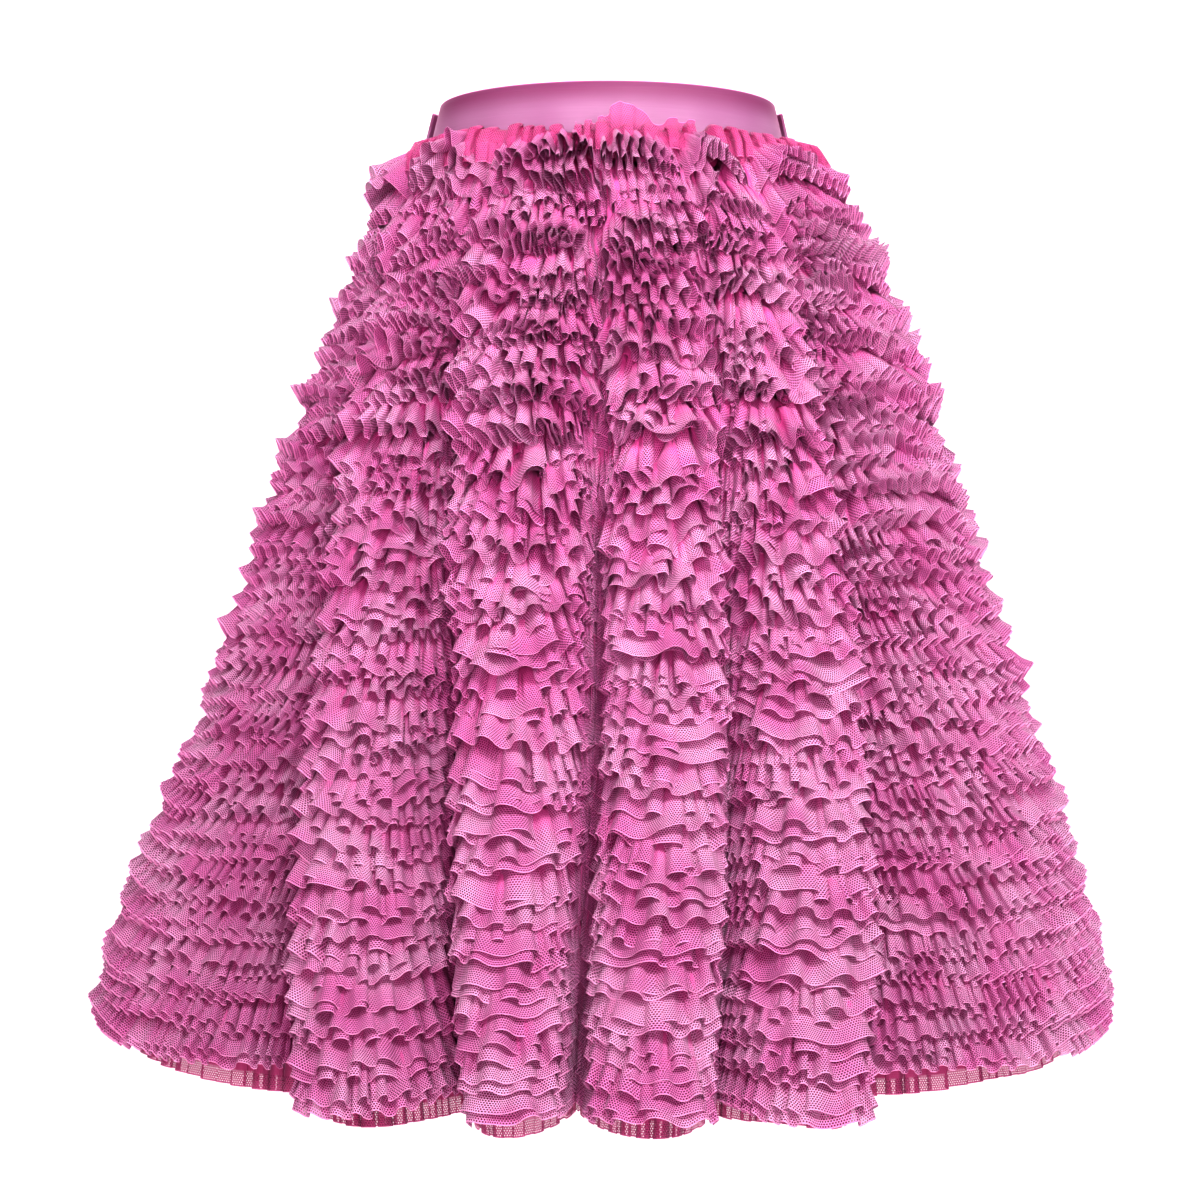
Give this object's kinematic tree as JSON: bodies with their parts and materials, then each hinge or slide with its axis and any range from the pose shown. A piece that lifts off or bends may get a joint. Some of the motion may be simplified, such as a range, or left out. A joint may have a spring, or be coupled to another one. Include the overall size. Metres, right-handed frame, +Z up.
{
  "type": "tiered tulle skirt",
  "caption": "Full mid-length skirt of gathered net ruffles on a folded net foundation, under a smooth waistband, as it hangs from a waist.",
  "frame": {"origin": "middle of the waist, on the axis of the waistband and halfway up it", "axes": "+Z up along the axis of the waistband, -Y to the front, +X to the right seen from the front"},
  "size_m": [0.7699, 0.7179, 0.736],
  "materials": {
    "band_ribbon": "soft sheen",
    "foundation_net": "matt net",
    "ruffle_net": "matt net"
  },
  "bodies": {
    "root": {"waistband_front": "band_ribbon", "waistband_back": "band_ribbon", "foundation_front": "foundation_net", "foundation_back": "foundation_net", "ruffle_01": "ruffle_net", "ruffle_02": "ruffle_net", "ruffle_03": "ruffle_net", "ruffle_04": "ruffle_net", "ruffle_05": "ruffle_net", "ruffle_06": "ruffle_net", "ruffle_07": "ruffle_net", "ruffle_08": "ruffle_net", "ruffle_09": "ruffle_net", "ruffle_10": "ruffle_net", "ruffle_11": "ruffle_net", "ruffle_12": "ruffle_net", "ruffle_13": "ruffle_net", "ruffle_14": "ruffle_net", "ruffle_15": "ruffle_net", "ruffle_16": "ruffle_net", "ruffle_17": "ruffle_net", "ruffle_18": "ruffle_net", "ruffle_19": "ruffle_net", "ruffle_20": "ruffle_net", "ruffle_21": "ruffle_net", "ruffle_22": "ruffle_net", "ruffle_23": "ruffle_net", "ruffle_24": "ruffle_net", "ruffle_25": "ruffle_net", "ruffle_26": "ruffle_net", "ruffle_27": "ruffle_net", "ruffle_28": "ruffle_net", "ruffle_29": "ruffle_net", "ruffle_30": "ruffle_net", "ruffle_31": "ruffle_net", "ruffle_32": "ruffle_net", "ruffle_33": "ruffle_net", "ruffle_34": "ruffle_net"}
  },
  "joints": []
}
